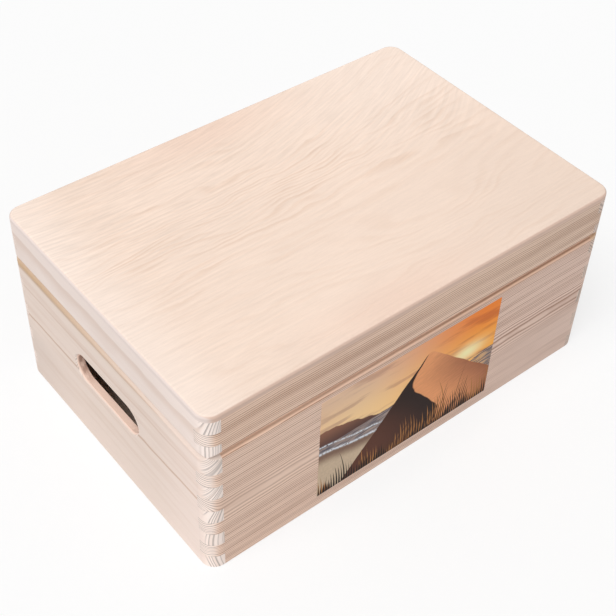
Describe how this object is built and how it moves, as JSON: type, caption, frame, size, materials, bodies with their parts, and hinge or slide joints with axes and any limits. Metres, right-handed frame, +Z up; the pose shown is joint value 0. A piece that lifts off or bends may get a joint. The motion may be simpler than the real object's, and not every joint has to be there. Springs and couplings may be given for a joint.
{
  "type": "photo storage box",
  "caption": "Rectangular hinged wooden box for photographs and keepsakes, with finger-jointed rounded corners, a plywood-topped lid, hand holes in both ends and a picture on the front.",
  "frame": {"origin": "centre of the underside, on the surface the box stands on", "axes": "+X along the length, towards the right end; +Y towards the back, where the hinges are; +Z up, the way the lid faces"},
  "size_m": [0.3, 0.2001, 0.13],
  "materials": {
    "pine": "sanded and unfinished",
    "birch_plywood": "sanded and unfinished",
    "hinge_steel": "zinc plated",
    "screw_steel": "zinc plated",
    "picture_film": "printed colour picture, satin"
  },
  "bodies": {
    "box": {"front_board": "pine", "back_board": "pine", "left_end_board": "pine", "right_end_board": "pine", "bottom_panel": "birch_plywood", "picture_print": "picture_film", "left_hinge_box_leaf": "hinge_steel", "left_hinge_pin": "hinge_steel", "left_hinge_box_screws": "screw_steel", "right_hinge_box_leaf": "hinge_steel", "right_hinge_pin": "hinge_steel", "right_hinge_box_screws": "screw_steel"},
    "lid": {"lid_front_rail": "pine", "lid_back_rail": "pine", "lid_left_rail": "pine", "lid_right_rail": "pine", "lid_panel": "birch_plywood", "left_hinge_lid_leaf": "hinge_steel", "left_hinge_lid_screws": "screw_steel", "right_hinge_lid_leaf": "hinge_steel", "right_hinge_lid_screws": "screw_steel"}
  },
  "joints": [
    {"name": "lid_hinge", "type": "hinge", "parent": "box", "child": "lid", "pos_m": [0, 0.09773, 0.098], "axis": [-1, 0, 0], "range_deg": [0, 100]}
  ]
}
